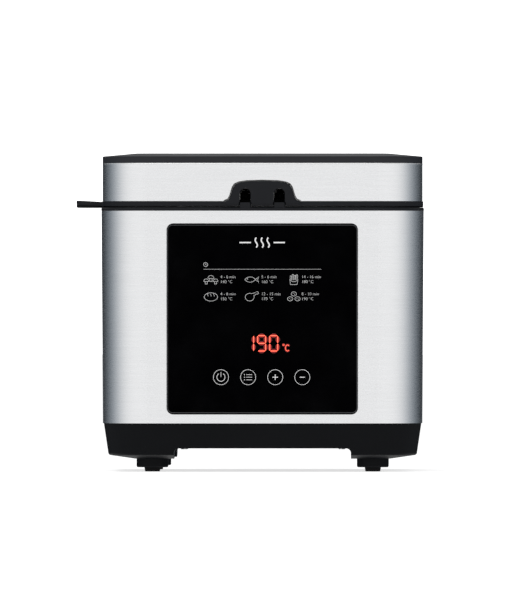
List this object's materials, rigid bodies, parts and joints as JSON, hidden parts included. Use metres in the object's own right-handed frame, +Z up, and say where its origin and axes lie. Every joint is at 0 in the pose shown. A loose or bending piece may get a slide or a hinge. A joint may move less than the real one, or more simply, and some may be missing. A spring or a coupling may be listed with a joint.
{
  "type": "deep fryer",
  "caption": "Box-shaped countertop deep fryer with a steel body, a front touch panel, a lift-off lid with handle slots, and a basket inside.",
  "frame": {"origin": "centre of the whole object's bounding box, on the surface the rubber feet stand on", "axes": "+Z up, the panel faces -Y, +X to the right seen from the front"},
  "size_m": [0.2925, 0.263, 0.2664],
  "materials": {
    "rubber": "matte moulded rubber",
    "black_plastic": "fine grained black plastic",
    "brushed_steel": "brushed along the width",
    "inner_steel": "drawn steel",
    "wire_steel": "plated wire",
    "aluminium": "cast and drawn aluminium",
    "element": "sheathed heating tube",
    "sensor_metal": "machined brass",
    "screws": "zinc plated",
    "panel_glass": "black glass",
    "display": "red segment display",
    "board": "circuit board",
    "part_black": "moulded case",
    "nylon": "natural nylon",
    "foam": "conductive foam",
    "filter_wool": "filter wool"
  },
  "bodies": {
    "body": {"rubber_foot_front_left": "rubber", "rubber_foot_front_right": "rubber", "rubber_foot_rear_left": "rubber", "rubber_foot_rear_right": "rubber", "foot_holder_front_left": "black_plastic", "foot_holder_front_right": "black_plastic", "foot_holder_rear_left": "black_plastic", "foot_holder_rear_right": "black_plastic", "base_housing": "black_plastic", "bottom_cover": "black_plastic", "cover_screws": "screws", "outer_shell": "brushed_steel", "inner_liner": "aluminium", "top_rim": "black_plastic", "panel_glass": "panel_glass", "panel_carrier": "black_plastic", "display_module": "display", "touch_pads": "foam", "control_board": "board", "board_screws": "screws", "buzzer": "part_black", "board_standoffs": "nylon", "power_board": "board", "power_relay": "part_black", "transformer": "part_black", "terminal_block": "nylon", "cord_gland": "black_plastic", "heating_plate": "aluminium", "heating_element": "element", "element_bracket": "inner_steel", "plate_posts": "inner_steel", "thermal_cutout": "inner_steel", "sensor_sleeve": "aluminium", "sensor_spring": "wire_steel"},
    "sensor": {"sensor_cap": "sensor_metal"},
    "pot": {"oil_pot": "inner_steel"},
    "basket": {"basket_mesh": "wire_steel", "basket_rim": "wire_steel", "basket_skids": "wire_steel", "handle_bracket": "black_plastic", "handle_pin": "wire_steel", "drain_hook": "wire_steel"},
    "handle": {"handle_rods": "wire_steel", "handle_grip": "black_plastic"},
    "lid": {"lid_frame": "black_plastic", "lid_band": "brushed_steel", "lid_top": "black_plastic", "lid_inner": "inner_steel", "lid_screws": "screws", "lid_gasket": "rubber", "filter_tray": "black_plastic"},
    "filter": {"filter_frame": "black_plastic", "filter_pad": "filter_wool"},
    "filter_cover": {"filter_cover": "black_plastic"}
  },
  "joints": [
    {"name": "sensor_press", "type": "slide", "parent": "body", "child": "sensor", "axis": [0, 0, -1], "range_m": [0, 0.002], "stiffness_N_per_m": 500, "springref_m": -0.003},
    {"name": "pot_lift", "type": "slide", "parent": "body", "child": "pot", "axis": [0, 0, 1], "range_m": [0, 0.15]},
    {"name": "basket_lift", "type": "slide", "parent": "pot", "child": "basket", "axis": [0, 0, 1], "range_m": [0, 0.2]},
    {"name": "lid_lift", "type": "slide", "parent": "basket", "child": "lid", "axis": [0, 0, 1], "range_m": [0, 0.34]},
    {"name": "handle_fold", "type": "hinge", "parent": "basket", "child": "handle", "pos_m": [0.01112, -0.091, 0.23], "axis": [1, 0, 0], "range_deg": [0, 194]},
    {"name": "filter_lift", "type": "slide", "parent": "lid", "child": "filter", "axis": [0, 0, 1], "range_m": [0, 0.03]},
    {"name": "filter_cover_lift", "type": "slide", "parent": "filter", "child": "filter_cover", "axis": [0, 0, 1], "range_m": [0, 0.03]}
  ],
  "couplings": [
    {"joint": "handle_fold", "follows": "lid_lift", "rad_per_m": 9.958}
  ]
}
